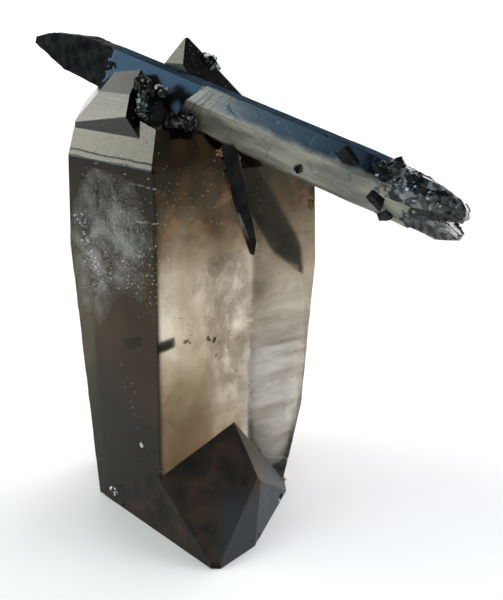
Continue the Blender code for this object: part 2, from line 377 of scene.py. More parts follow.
# quartz
stepBack = 0.12  # how far the main tip's faces lie behind those of the trunk
pyramid = 38.2  # elevation of quartz's pyramid faces
quartzSet = {
    "rounding": 0.05,
    "prism": [
        (-30, 0, 12.03), (30, 0, 7.03), (90, 0, 14.15), (150, 0, 13.1), (-150, 0, 11.1), (-90, 0, 16.7),
    ],
    "taper": [(-90, 3.9, 19.17), (-90, -2.2, 15.06), (90, 5.5, 17.6), (85, -7, 12.3)],
    "trunkTop": [
        (-30, pyramid, 40.25), (-90, 40.6, 46.5), (30, pyramid, 36.2), (90, 48, 44.8), (150, pyramid, 39.5),
        (-150, pyramid, 41.6), (57, 77.6, 52.35), (0, -90, 0),
    ],
    "mainTip": [
        (-30, 0, 1.9), (-30, pyramid, 38.53), (30, 0, 7.03 - stepBack), (30, pyramid, 36.2 - stepBack),
        (90, 48, 44.8 - stepBack), (90, 5.5, 17.6 - stepBack), (150, 0, 13.1 - stepBack),
        (150, pyramid, 39.5 - stepBack), (-150, 0, 11.1 - stepBack), (-150, pyramid, 41.6 - stepBack),
        (-90, 3.9, 19.17 - stepBack), (-90, pyramid, 41.3), (0, -90, -40),
    ],
    "frontTip": [
        (-30, 0, 9.83), (-39, 40.7, 43.5), (-39.5, 50, 49.0), (38, 40, 34.9), (30, 0, 4.6), (150, 0, -4.7),
        (-71.0, 43.4, 47.84), (-90, 40.6, 47.5), (-90, 3.9, 19.17 - stepBack), (0, -90, -44),
    ],
    # the first five are its broken faces
    "brokenRoot": [
        (-35.8, 7, 12.95), (2, 42, 13.74), (42.4, 17.5, 15.1), (95, 31, 10.8), (67, 8, 12.9), (180, 0, 2),
        (-90, 0, 14.2), (0, -90, 0),
    ],
    # lowest and highest level of a growth layer, and how far it stands out of the sides and back
    "layers": [
        (5.5, 9.0, 0.03), (15.0, 16.6, 0.042), (19.5, 25.0, 0.024), (29.0, 30.2, 0.048), (34.0, 39.0, 0.03),
    ],
    "layerTop": (70, 86),
    # a point just inside an edge, radius, depth, direction out of the stone
    "chips": [
        ((-10.4, -8.6, 0.3), 0.9, 1.3, (-0.7, -0.6, 0.3)), ((-8.2, -10.2, 0.2), 0.7, 1.2, (-0.5, -0.8, 0.2)),
        ((3.2, -17.8, 0.3), 0.9, 1.6, (0.0, -1.0, 0.3)), ((8.5, -12.9, 0.4), 0.8, 1.4, (0.9, -0.4, 0.2)),
        ((11.4, -4.9, 0.5), 0.8, 1.4, (0.9, -0.3, 0.4)), ((12.6, -0.2, 44.4), 0.7, 1.2, (0.8, -0.5, 0.2)),
        ((12.6, 0.0, 46.2), 0.6, 1.3, (0.9, -0.4, 0.3)), ((12.3, 1.4, 47.5), 0.9, 1.3, (0.7, -0.2, 0.7)),
        ((13.4, 6.4, 31.0), 0.6, 1.2, (0.8, 0.6, 0.0)), ((2.0, 13.5, 22.0), 0.6, 1.2, (0.1, 1.0, 0.1)),
        ((2.0, 13.5, 24.0), 0.8, 1.1, (-0.1, 1.0, 0.2)), ((2.0, 13.4, 0.4), 1.1, 1.6, (0.0, 1.0, 0.2)),
        ((-14.6, 3.6, 0.3), 0.9, 1.5, (-0.8, 0.6, 0.2)), ((-16.2, 3.0, 36.0), 0.5, 1.1, (-0.9, 0.5, 0.0)),
        ((12.1, 6.4, 0.4), 0.9, 1.5, (0.8, 0.6, 0.2)),
    ],
    "firstChipSeed": 41, "chipFront": (0.3, 0.2, 1.0),
    # the tip's finish begins at this level, and at a higher one on the right front slope
    "tipLevel": 49.9, "tipLevelOnSlope": 53,
}


def growthLayer(low, high, rise):
    facets = []
    for azimuth, elevation, distance in quartzSet["prism"] + quartzSet["taper"]:
        proud = rise if abs(azimuth) > 30 else -rise  # the two front faces stay smooth
        facets.append((azimuth, elevation, distance + proud))
    azimuth, elevation = quartzSet["layerTop"]
    return facets + [(azimuth, elevation, high), (azimuth - 180, -elevation, -low)]


def makeQuartz(settings):
    rounding = settings["rounding"]
    trunkFacets = settings["prism"] + settings["taper"] + settings["trunkTop"]
    trunk = solidObject("quartzBody", trunkFacets, rounding=rounding)
    added = []
    for name in ("mainTip", "frontTip", "brokenRoot"):
        added.append(solidObject(name, settings[name], rounding=rounding))
    for layer in settings["layers"]:
        added.append(solidObject("growthLayer", growthLayer(*layer)))
    removed = []
    for seed, (point, radius, depth, direction) in enumerate(settings["chips"], settings["firstChipSeed"]):
        turn = axisFrame(direction, settings["chipFront"])
        removed.append(solidObject("chip", shard(seed, radius, depth), point, turn))
    return fuse(trunk, added, removed)


glassSet = {"ior": 1.544, "absorbs": (0.66, 0.59, 0.48), "density": 38.0}


def glassFinish(name, reflects):
    w = newFinish(name, {"Transmission Weight": 1.0, "IOR": glassSet["ior"], "Specular Tint": reflects})
    absorb = w.nodes.new("ShaderNodeVolumeAbsorption")
    absorb.inputs["Color"].default_value = (*glassSet["absorbs"], 1)
    absorb.inputs["Density"].default_value = glassSet["density"]
    w.links.new(absorb.outputs[0], w.nodes["Material Output"].inputs["Volume"])
    return w


smokyLook = {
    "reflects": (0.33, 0.288, 0.19),
    "clouds": [(0.30, (0.44, 0.36, 0.26)), (0.66, (0.92, 0.88, 0.80)), (0.48, (0.72, 0.64, 0.52))],
    # share of 50 mm of height, tint there
    "levels": [
        (0.10, (0.20, 0.14, 0.09)), (1.0, (0.0070, 0.0075, 0.0062)), (0.34, (0.30, 0.25, 0.185)),
        (0.54, (0.92, 0.90, 0.87)), (0.68, (0.70, 0.69, 0.67)), (0.79, (0.30, 0.27, 0.22)),
        (0.86, (0.085, 0.060, 0.040)), (0.91, (0.032, 0.032, 0.026)),
    ],
    "amber": (0.200, 0.088, 0.034), "amberLevel": (45.0, 4.0), "amberShare": 0.8,
    "pale": [(0.38, (0.55, 0.52, 0.48)), (0.52, (0.96, 0.95, 0.93))], "paleShare": 0.9,
    # level and half height of the grey stripes at the right edge
    "stripes": [(43.4, 0.6), (40.8, 0.4), (25.4, 0.8)], "stripe": (0.12, 0.11, 0.10), "stripeShare": 0.7,
    "leftFace": [(0.35, (0.0010, 0.0003, 0.0001)), (0.65, (0.0034, 0.0013, 0.0004))],
    "leftEdge": [(0.35, (0.0050, 0.0040, 0.0022)), (0.65, (0.0170, 0.0135, 0.0080))],
    "leftTop": (0.0004, 0.0004, 0.0002),
    "roughness": 0.08, "hazyRoughness": 0.22, "mottle": 0.16,
}


def quartzMaterial(look):
    w = glassFinish("smokyQuartzFinish", look["reflects"])
    p = w.place()
    x, _, z = w.split(p)
    drift = w.math("MULTIPLY_ADD", w.noise(p, 0.18, 4.0, 0.55), 13.0, -6.5)
    level = w.math("ADD", w.math("MULTIPLY_ADD", x, -0.12, z), drift)
    cloud = w.noise(w.stretch(p, (1, 1, 0.55)), 0.24, 5.0, 0.55, 0.6)
    smoke = w.ramp(w.times(level, 1 / 50), look["levels"])
    tint = w.mix(1.0, w.ramp(cloud, look["clouds"]), smoke, "MULTIPLY")
    amber = w.times(w.fade(w.noise(p, 0.42, 3.0), 0.50, 0.62), w.band(z, *look["amberLevel"]))
    tint = w.mix(w.times(amber, look["amberShare"]), tint, look["amber"])
    # pale bands on the right third
    pale = w.times(w.fade(w.along(p, (0.866, 0.5, 0)), 1.6, 4.6), w.fade(level, 36.0, 27.0))
    bands = w.ramp(w.noise(w.stretch(p, (0.06, 0.06, 0.5)), 1.0, 4.0), look["pale"])
    tint = w.mix(w.times(pale, look["paleShare"]), tint, bands)
    stripes = 0.0
    for middle, half in look["stripes"]:
        stripes = w.math("ADD", w.band(z, middle, half), stripes)
    stripes = w.times(stripes, w.fade(w.math("MULTIPLY_ADD", w.noise(p, 0.5, 2.0), 4.0, x), 9.5, 12.5))
    tint = w.mix(w.times(stripes, look["stripeShare"]), tint, look["stripe"])
    # the left front face is nearly black, with a lighter rim at its left edge
    across = w.fade(w.along(p, (0.866, -0.5, 0)), -9.8, -8.8)
    leftShade = w.mix(across, w.ramp(cloud, look["leftEdge"]), w.ramp(cloud, look["leftFace"]))
    leftShade = w.mix(w.fade(level, 34.0, 44.0), leftShade, look["leftTop"])
    tint = w.mix(w.fade(w.along(p, (-0.5, -0.866, 0)), 11.3, 11.9), tint, leftShade)
    w.put("Base Color", tint)
    soft = w.noise(w.stretch(p, (0.4, 0.4, 1.4)), 1.0, 4.0, 0.55)
    w.put("Normal", w.bump(soft, 0.3, 0.05))
    hazy = w.times(w.fade(x, 5.0, 8.0), w.fade(z, 33.0, 38.0))
    roughness = w.math("MULTIPLY_ADD", hazy, look["hazyRoughness"], look["roughness"])
    w.put("Roughness", w.math("MULTIPLY_ADD", w.noise(p, 0.5, 4.0, 0.6), look["mottle"], roughness))
    return w.owner


tipLook = {
    "reflects": (0.88, 0.88, 0.80), "roughness": 0.16, "mottle": 0.14,
    "shades": [(0.35, (0.0006, 0.0006, 0.0004)), (0.7, (0.0040, 0.0034, 0.0022))],
    "grooves": [(50.15, 0.12), (50.75, 0.09)],  # level and half height
}


def tipMaterial(look):
    w = glassFinish("smokyTipFinish", look["reflects"])
    p = w.place()
    w.put("Base Color", w.ramp(w.noise(p, 0.4, 4.0), look["shades"]))
    pits = w.fade(w.dots(p, 2.1), 0.10, 0.18)
    lines = w.noise(w.stretch(p, (0.10, 0.10, 3.4)), 1.0, 4.0, 0.6)
    wavy = w.math("MULTIPLY_ADD", w.noise(w.stretch(p, (0.35, 0.35, 0.1)), 1.0, 3.0), 0.5, w.split(p)[2])
    lower, upper = look["grooves"]
    grooves = w.math("ADD", w.band(wavy, *lower), w.band(wavy, *upper))
    height = w.math("MULTIPLY_ADD", grooves, -2.0, w.math("MULTIPLY_ADD", pits, 0.7, lines))
    w.put("Normal", w.bump(height, 0.6, 0.055))
    w.put("Roughness", w.math("MULTIPLY_ADD", w.noise(p, 0.9, 4.0, 0.6), look["mottle"], look["roughness"]))
    return w.owner


rootLook = {
    "shades": [
        (0.34, (0.015, 0.016, 0.014)), (0.72, (0.054, 0.034, 0.024)), (0.46, (0.026, 0.022, 0.017)),
        (0.58, (0.042, 0.028, 0.020)),
    ],
    "cool": (0.036, 0.040, 0.043), "warm": (0.064, 0.040, 0.028), "roughness": 0.25, "mottle": 0.3,
}


def rootMaterial(look):
    w = newFinish("brokenRootFinish", {"IOR": 1.45, "Specular IOR Level": 0.11})
    p = w.place()
    x, _, z = w.split(p)
    blotch = w.noise(w.stretch(p, (1, 1, 0.8)), 0.28, 5.0, 0.55, 0.4)
    shade = w.ramp(blotch, look["shades"])
    shade = w.mix(w.times(w.fade(x, 1.5, 5.5), w.fade(z, 9.0, 5.0)), shade, look["cool"])
    shade = w.mix(w.times(w.fade(x, 6.0, 10.5), w.fade(z, 5.5, 9.5)), shade, look["warm"])
    w.put("Base Color", shade)
    w.put("Roughness", w.math("MULTIPLY_ADD", blotch, look["mottle"], look["roughness"]))
    w.put("Normal", w.bump(w.noise(p, 1.1, 5.0, 0.55), 0.5, 0.14))
    return w.owner


def markFinishes(piece, settings):
    bodyFinish, rootFinish, tipFinish = range(3)
    rootFaces = [(facetNormal(*facet[:2]), facet[2]) for facet in settings["brokenRoot"][:5]]
    slope = facetNormal(30, pyramid)
    for face in piece.data.polygons:
        middle = face.center / mm
        onRoot = False
        for normal, distance in rootFaces:
            if abs(middle.dot(normal) - distance) < 0.12 and face.normal.dot(normal) > 0.8:
                onRoot = True
        lowOnSlope = face.normal.dot(slope) > 0.95 and middle.z < settings["tipLevelOnSlope"]
        onTip = middle.z > settings["tipLevel"] and not lowOnSlope
        face.material_index = rootFinish if onRoot else tipFinish if onTip else bodyFinish


quartz = makeQuartz(quartzSet)
quartz.data.materials.clear()
quartz.data.materials.append(quartzMaterial(smokyLook))
quartz.data.materials.append(rootMaterial(rootLook))
quartz.data.materials.append(tipMaterial(tipLook))
markFinishes(quartz, quartzSet)
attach(quartz, "root")
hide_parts("smoky_quartz")
print("quartz made:", len(quartz.data.polygons), "faces")


# haze sheets just inside the quartz, and frost on its left face
def keepInside(point, margin):
    for azimuth, elevation, distance in quartzSet["prism"] + quartzSet["taper"]:
        normal = facetNormal(azimuth, elevation)
        over = point.dot(normal) - (distance - margin)
        if over > 0:
            point = point - normal * over
    return point


def veilMaterial(name, colour, low, high, strength, scale, stretch, dust):
    w = newFinish(name, {"Base Color": colour, "Roughness": 0.9, "IOR": 1.02})
    p = w.place()
    fadeOut = w.nodes.new("ShaderNodeAttribute")
    fadeOut.attribute_name = "fade"
    cloud = w.fade(w.noise(w.stretch(p, stretch), scale, 4.0, 0.55, 0.25), low, high)
    if dust:
        cloud = w.math("ADD", cloud, w.times(w.fade(w.noise(p, 5.0, 3.0, 0.7), 0.53, 0.66), dust))
    w.put("Alpha", w.times(w.times(cloud, fadeOut.outputs["Fac"]), strength))
    return w.owner


veilSet = {
    # finish: name, colour, noise where it starts and is whole, strength, size and stretch of the clouds, dust
    # sheets: centre, way it faces, width, height, seed; with a depth below 0 they lie on the face
    "cloudVeils": {
        "finish": ("cloudFinish", (0.95, 0.92, 0.86), 0.40, 0.68, 0.8, 0.42, (1, 1, 0.6), 0.0),
        "depth": 0.35,
        "sheets": [
            ((3.0, -4.6, 30.0), (0.5, -0.866, 0.05), 9, 20, 1),
            ((1.6, -4.2, 33.5), (0.45, -0.88, 0.0), 9, 13, 3),
            ((4.6, -2.2, 25.0), (0.5, -0.86, 0.1), 11, 18, 5),
        ],
    },
    "rightVeils": {
        "finish": ("paleSideFinish", (0.99, 0.97, 0.92), 0.15, 0.62, 0.95, 0.36, (0.3, 0.3, 1.1), 0.0),
        "depth": 0.3,
        "sheets": [
            ((9.6, -2.2, 22.5), (0.5, -0.866, 0.0), 11, 31, 2),
            ((10.4, 0.0, 18.0), (0.6, -0.8, 0.0), 10, 30, 4),
        ],
    },
    "frostFilm": {
        "finish": ("frostFinish", (0.62, 0.63, 0.56), 0.30, 0.84, 0.22, 0.40, (1, 1, 1), 0.9),
        "depth": -0.03,
        "sheets": [
            ((-10.4, -7.9, 41.0), (-0.5, -0.866, 0.0), 14, 16, 7),
            ((-13.4, -6.1, 38.5), (-0.5, -0.866, 0.0), 7, 20, 8),
        ],
    },
}
sheetSet = {"columns": 26, "rows": 34, "ragged": 0.25, "wave": 0.4, "thickness": 0.012, "inFront": 3.0}


def makeVeils(name, settings):
    depth = settings["depth"]
    bm = bmesh.new()
    fade = bm.verts.layers.float.new("fade")
    for centre, facing, width, height, seed in settings["sheets"]:
        columns, rows = sheetSet["columns"], sheetSet["rows"]
        sheet = bmesh.ops.create_grid(bm, x_segments=columns, y_segments=rows, size=0.5)["verts"]
        turn = axisFrame((0, 0, 1), facing)
        outside = []
        for vert in sheet:
            sx, sy = vert.co.x * 2, vert.co.y * 2
            rim = math.hypot(sx, sy) + sheetSet["ragged"] * noise.noise((sx * 2, sy * 2, seed))
            vert[fade] = max(0.0, 1 - rim ** 2)
            wave = sheetSet["wave"] * noise.noise((sx * 1.4, sy * 1.4, seed + 5)) if depth > 0 else 0.0
            spot = Vector(centre) + turn @ Vector((sx * width / 2, wave, sy * height / 2))
            if depth < 0:  # it starts in front of the face, and so comes to lie on it
                spot += Vector(facing) * sheetSet["inFront"]
            vert.co = keepInside(spot, depth) * mm
            if rim > 1.02:
                outside.append(vert)
        bmesh.ops.delete(bm, geom=outside, context="VERTS")
    bmesh.ops.delete(bm, geom=[v for v in bm.verts if not v.link_faces], context="VERTS")
    bmesh.ops.solidify(bm, geom=bm.faces[:], thickness=sheetSet["thickness"] * mm)
    bmesh.ops.recalc_face_normals(bm, faces=bm.faces)
    piece = meshPiece(name, bm, veilMaterial(*settings["finish"]))
    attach(piece, "root")


for name, settings in veilSet.items():
    makeVeils(name, settings)
print("veils made")


# flakes and specks
def plainMaterial(name, colour, roughness):
    w = newFinish(name, {"Roughness": roughness})
    dim = tuple(c * 0.6 for c in colour)
    w.put("Base Color", w.mix(w.noise(w.place(), 2.0, 2.0), dim, colour))
    return w.owner


def flake(bm, place, size, thin, draw):
    made = bmesh.ops.create_cube(bm, size=size * 1.4 * mm)["verts"]
    angle = draw.uniform(0, math.tau)
    axis = Vector((draw.gauss(0, 1), draw.gauss(0, 1), draw.gauss(0, 1) + 0.01)).normalized()
    bmesh.ops.scale(bm, verts=made, vec=(1, thin, draw.uniform(0.4, 1.0)))
    bmesh.ops.rotate(bm, verts=made, cent=(0, 0, 0), matrix=Matrix.Rotation(angle, 3, axis))
    bmesh.ops.translate(bm, verts=made, vec=place * mm)


flakeSet = {
    # groups: path of points, spread along the face, depth, count, smallest and largest size
    "paleFlakes": {
        "finish": ("paleFlakeFinish", (0.9, 0.9, 0.88), 0.4), "seed": 5, "onFaces": True,
        "groups": [
            ([(-16.0, -4.6, 43.0), (-15.2, -5.2, 38.5), (-13.8, -6.0, 34.5)], 1.1, 0.0, 130, 0.04, 0.17),
            ([(-15.2, -5.4, 38.5), (-10.0, -8.4, 37.5), (-5.5, -11.0, 35.0)], 1.6, 0.0, 120, 0.03, 0.10),
            ([(-14.0, -6.0, 47.0), (-9.0, -8.8, 43.0), (-6.0, -10.4, 40.0)], 3.2, 0.0, 330, 0.02, 0.08),
            ([(-4.0, -10.7, 46.5), (2.0, -7.1, 47.5), (9.0, -3.0, 46.0)], 2.4, 0.0, 170, 0.02, 0.06),
            ([(-11.0, -7.6, 24.0), (-7.6, -9.5, 11.0)], 2.0, 0.0, 26, 0.03, 0.12),
            ([(-8.8, -8.8, 12.9), (-8.9, -8.7, 12.4)], 0.12, 0.0, 7, 0.22, 0.34),
            ([(-14.3, -5.6, 1.8), (-12.6, -6.6, 0.9), (-11.4, -7.3, 0.6)], 0.4, 0.0, 60, 0.14, 0.42),
            ([(-5.5, -11.0, 44.2), (-8.5, -9.3, 44.0)], 0.05, 0.0, 60, 0.02, 0.05),
            ([(-5.6, -10.9, 48.0), (-9.0, -9.0, 48.2)], 0.06, 0.0, 70, 0.02, 0.06),
        ],
    },
    "darkFlakes": {
        "finish": ("darkFlakeFinish", (0.06, 0.05, 0.04), 0.5), "seed": 6, "onFaces": True,
        "groups": [
            ([(-4.6, -10.6, 36.0), (-1.0, -8.6, 31.5), (2.6, -6.6, 26.0)], 0.9, 0.1, 170, 0.03, 0.10),
            ([(-4.0, -10.2, 27.4), (0.0, -8.0, 25.0), (4.0, -5.6, 27.0)], 1.0, 0.8, 24, 0.05, 0.18),
            ([(-3.0, -9.6, 43.0), (4.0, -5.6, 41.0)], 2.5, 0.4, 60, 0.03, 0.08),
            ([(-1.4, -7.6, 28.6), (2.6, -5.2, 28.0)], 0.15, 0.5, 9, 0.25, 0.5),
        ],
    },
    "limoniteCrust": {
        "finish": ("limoniteFinish", (0.42, 0.24, 0.08), 0.8), "seed": 7, "onFaces": False,
        "groups": [
            ([(1.4, -7.2, 51.6), (2.7, -6.6, 51.2), (3.9, -5.9, 50.6)], 0.16, 0.0, 70, 0.08, 0.22),
            ([(12.4, -1.4, 0.9), (12.7, -1.0, 0.6)], 0.25, 0.0, 24, 0.12, 0.34),
        ],
    },
}


def makeFlakes(name, settings):
    draw = random.Random(settings["seed"])
    bm = bmesh.new()
    for path, spread, depth, count, small, large in settings["groups"]:
        for _ in range(count):
            share = draw.random() * (len(path) - 1)
            first = min(int(share), len(path) - 2)
            spot = Vector(path[first]).lerp(Vector(path[first + 1]), share - first)
            spot += Vector((draw.gauss(0, spread * 0.6), 0, draw.gauss(0, spread)))
            if settings["onFaces"]:  # moved 3 mm forward, brought back to the front faces and then set in
                spot = keepInside(spot + Vector((0, -3.0, 0)), 0.0)
                spot += Vector((0, abs(draw.gauss(0, depth)), 0))
            spot.z = max(spot.z, large * 1.3)  # none reaches below the ground
            flake(bm, spot, small + (large - small) * draw.random() ** 3, draw.uniform(0.15, 0.6), draw)
    piece = meshPiece(name, bm, plainMaterial(*settings["finish"]))
    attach(piece, "root")


inclusionSet = {
    "foot": (-8.6, -0.6, 24.6), "seed": 51, "radius": 0.8, "length": 3.3, "direction": (0.9, 0.1, 0.35),
    "front": (0.3, -1.0, 0.2), "finish": ("inclusionFinish", (0.010, 0.009, 0.007), 0.5),
}


def makeInclusion(settings):
    bm = bmesh.new()
    facets = shard(settings["seed"], settings["radius"], settings["length"])
    growCrystal(bm, facets, settings["foot"], axisFrame(settings["direction"], settings["front"]))
    piece = meshPiece("darkInclusions", bm, plainMaterial(*settings["finish"]))
    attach(piece, "root")


for name, settings in flakeSet.items():
    makeFlakes(name, settings)
makeInclusion(inclusionSet)
print("flakes and inclusion made")


# aegirine bar
barSet = {
    "centre": (-2.14, -2.0, 56.1), "turn": 33.0, "dip": 12.4, "rounding": 0.05,
    "smoothHalf": [
        (-12.5, 0, 1.15), (-86, 0, 2.45), (93, 0, 2.42), (168, 0, 1.5), (-145, 0, 2.45), (-90, -10.7, 5.6),
        (-90, -21.9, 9.85), (90, -12.1, 6.65), (-5, -4.3, 2.3), (175, -4.3, 2.6), (-60, -75, 25.7),
        (90, 56.3, 1.7),
    ],
    "ribbedHalf": [
        (-36.7, 0, 2.0), (15.3, 0, 1.76), (52, 0, 2.55), (-88, 0, 2.6), (91, 0, 2.75), (-156.7, 0, 1.95),
        (164.6, 0, 1.9), (-90, -54, -0.4), (90, -60, 0.65), (-108, 15.3, 10.2), (-108, 38.7, 21.8),
        (-108, 61, 29.85), (150, 52, 27.6), (-150, 50, 26.6), (72, 22.2, 14.6), (30, 85, 33.9),
    ],
    "endNotch": [(-90, -14, 0.05), (90, -20, 0.1), (0, 0, 6), (180, 0, 6), (0, 90, 6), (0, -90, 0)],
    "notchPlace": (31.7, 0, -0.35),
    # along, front and up from the bar's centre, seed, radius, length, direction of growth
    "crystals": [
        (20.2, 0.7, 1.8, 1, 1.05, 3.3, (0.55, -0.55, -0.8)),
        (24.4, 0.6, 1.4, 2, 1.1, 2.3, (0.2, -0.9, -0.3)),
        (25.3, -0.2, 1.8, 3, 1.0, 2.0, (0.5, -0.6, 0.6)),
        (26.7, 0.0, 1.4, 4, 1.0, 2.4, (0.5, -0.8, 0.4)),
        (24.9, 0.6, -0.6, 5, 1.15, 2.2, (0.1, -0.9, -0.3)),
        (26.0, 0.3, -1.7, 6, 1.0, 2.0, (0.2, -0.7, -0.7)),
        (28.2, 0.4, 0.7, 7, 1.2, 3.2, (0.9, -0.75, 0.0)),
        (28.6, 0.4, -1.1, 8, 1.1, 3.4, (0.9, -0.6, -0.3)),
        (30.4, 0.2, 0.2, 9, 1.1, 2.6, (0.8, -0.75, -0.1)),
    ],
    # the bar is sliced finely from its left end on, and round its axis, for the wear on its surface
    "leftEnd": -27.0, "sliced": 62, "slice": 0.25, "turns": 32,
}
barTurn, barDip = math.radians(barSet["turn"]), math.radians(barSet["dip"])
barFront = Vector((-math.sin(barTurn), -math.cos(barTurn), 0))
barLevel = math.cos(barDip)
barAlong = Vector((math.cos(barTurn) * barLevel, -math.sin(barTurn) * barLevel, -math.sin(barDip)))
barUp = barAlong.cross(-barFront)
barFrame = axisFrame(barAlong, barFront)

wearSet = {
    # where along the bar each surface begins and is whole
    "etched": (-11.5, -14.5), "ribsFromLeft": (-0.5, 2.0), "ribsFromRight": (31.0, 25.0),
    "broken": (22.5, 27.0),
    # how deep each goes
    "etch": 0.08, "lumps": 0.12, "pits": 0.03, "rib": 0.008, "terrace": 0.014, "hackle": 0.30,
    # where along the bar its finishes change, the broken one in its upper and lower half
    "etchedUntil": -11.8, "brokenAbove": 26.0, "brokenBelow": 28.5, "smoothUntil": 0.5,
}


def onBar(along, front, up):
    return Vector(barSet["centre"]) + along * barAlong + front * barFront + up * barUp


def barPlace(point):
    away = point / mm - Vector(barSet["centre"])
    return away.dot(barAlong), away.dot(barFront), away.dot(barUp)


def smoothStep(low, high, value):
    share = min(1.0, max(0.0, (value - low) / (high - low)))
    return share * share * (3 - 2 * share)


def etchedEnd(t, f, u):
    etched = smoothStep(*wearSet["etched"], t + 0.8 * noise.noise((0, f, u)))
    lumps = wearSet["lumps"] * noise.noise((t * 0.8, f * 1.0, u * 1.0))
    pits = wearSet["pits"] * noise.noise((t * 2.6, f * 2.6, u * 2.6))
    return etched * max(0.0, wearSet["etch"] + lumps + pits)


def ribs(t, f, u):
    ribbed = smoothStep(*wearSet["ribsFromLeft"], t - 0.6 * u) * smoothStep(*wearSet["ribsFromRight"], t)
    streaks = noise.noise((t * 0.05, f * 3.2, u * 3.2)) + 0.6 * noise.noise((t * 0.09 + 9, f * 7.0, u * 7.0))
    rise = 2.4 * noise.noise((t * 0.10, f * 0.3, u * 0.4)) + 0.5 * u
    terraces = wearSet["terrace"] * (rise - math.floor(rise)) ** 3
    return ribbed * (wearSet["rib"] + wearSet["rib"] * max(-0.8, streaks) + terraces)


def brokenEnd(t, f, u):
    broken = smoothStep(*wearSet["broken"], t)
    large = abs(noise.cell_vector((t * 0.55, f * 0.8, u * 0.8))[0])
    small = noise.cell_vector((t * 1.1 + 5, f * 1.6, u * 1.6))[1]
    return broken * wearSet["hackle"] * (large + 0.35 * small)


def joinBar(settings, finishes):
    centre, rounding = settings["centre"], settings["rounding"]
    bar = solidObject("barBody", settings["smoothHalf"], centre, barFrame, rounding)
    for finish in finishes.values():
        bar.data.materials.append(finish)
    added = [solidObject("ribbedHalf", settings["ribbedHalf"], centre, barFrame, rounding)]
    crystalSlot = list(finishes).index("crystals")
    for along, front, up, seed, radius, length, direction in settings["crystals"]:
        turn = axisFrame(direction, barFront)
        crystal = solidObject("barCrystal", shard(seed, radius, length), onBar(along, front, up), turn)
        for face in crystal.data.polygons:
            face.material_index = crystalSlot
        added.append(crystal)
    notch = solidObject("endNotch", settings["endNotch"], onBar(*settings["notchPlace"]), barFrame)
    return fuse(bar, added, [notch])


def sliceBar(bm, settings):
    start = Vector(settings["centre"]) * mm
    for number in range(int(settings["sliced"] / settings["slice"])):
        point = start + barAlong * (number * settings["slice"] + settings["leftEnd"]) * mm
        bmesh.ops.bisect_plane(bm, geom=allOf(bm), dist=1e-7, plane_co=point, plane_no=barAlong)
    for number in range(settings["turns"]):
        angle = math.pi * (number + 0.3) / settings["turns"]
        normal = barFront * math.cos(angle) + barUp * math.sin(angle)
        bmesh.ops.bisect_plane(bm, geom=allOf(bm), dist=1e-7, plane_co=start, plane_no=normal)
    bmesh.ops.triangulate(bm, faces=bm.faces[:])
    bm.normal_update()


def markBar(bm, finishes):
    slots = {name: number for number, name in enumerate(finishes)}
    for face in bm.faces:
        t, f, u = barPlace(face.calc_center_median())
        ragged = 1.3 * noise.noise((t * 0.7, f, u * 0.7)) + 0.8 * noise.noise((t * 2.2, f * 2.2, u * 2.2))
        brokenFrom = wearSet["brokenAbove"] if u > -0.4 else wearSet["brokenBelow"]
        isSmooth = face.material_index == slots["smooth"]
        facesUp = face.normal.dot(barUp)
        if t + ragged < wearSet["etchedUntil"]:
            face.material_index = slots["etched"]
        elif isSmooth and t + 1.6 * ragged > brokenFrom:
            face.material_index = slots["broken"]
        # faces that take the matte dark blue, a painted sky reflection
        elif isSmooth and (facesUp > 0.9 or t < wearSet["smoothUntil"] and facesUp < 0.15):
            face.material_index = slots["top"]


def makeBar(settings, finishes):
    bar = joinBar(settings, finishes)
    bm = bmesh.new()
    bm.from_mesh(bar.data)
    bmesh.ops.remove_doubles(bm, verts=bm.verts, dist=1e-6)
    sliceBar(bm, settings)
    for vert in bm.verts:
        t, f, u = barPlace(vert.co)
        depth = etchedEnd(t, f, u) + ribs(t, f, u) + brokenEnd(t, f, u)
        vert.co -= vert.normal * depth * mm
    markBar(bm, finishes)
    bm.to_mesh(bar.data)
    bm.free()
    return bar


def barCoordinates(w):  # x along the bar, y towards its back, z up from its centre
    rows = Matrix((barAlong, -barFront, barUp))
    return w.place(rows.to_euler(), -(rows @ Vector(barSet["centre"])))


# the beige shades, the darker patches in them and the beige beside the step are painted reflection of the
# pale floor; the near-black shades and the dark lines are the bar's own colour
barLook = {
    "glossy": [(0.35, (0.001, 0.002, 0.003)), (0.75, (0.007, 0.008, 0.008))],
    "beigeReflection": [(0.35, (0.145, 0.140, 0.102)), (0.7, (0.255, 0.245, 0.180))],
    "dimPatches": (0.030, 0.034, 0.030), "dimPatchShare": 0.6,
    "contour": (0.010, 0.011, 0.010), "contourShare": 0.75,
    "nearStep": (0.130, 0.126, 0.094), "nearStepShare": 0.8,
    "scratch": (0.010, 0.010, 0.008), "scratchShare": 0.9,
    "roughness": 0.19, "streakRoughness": 0.24,
}


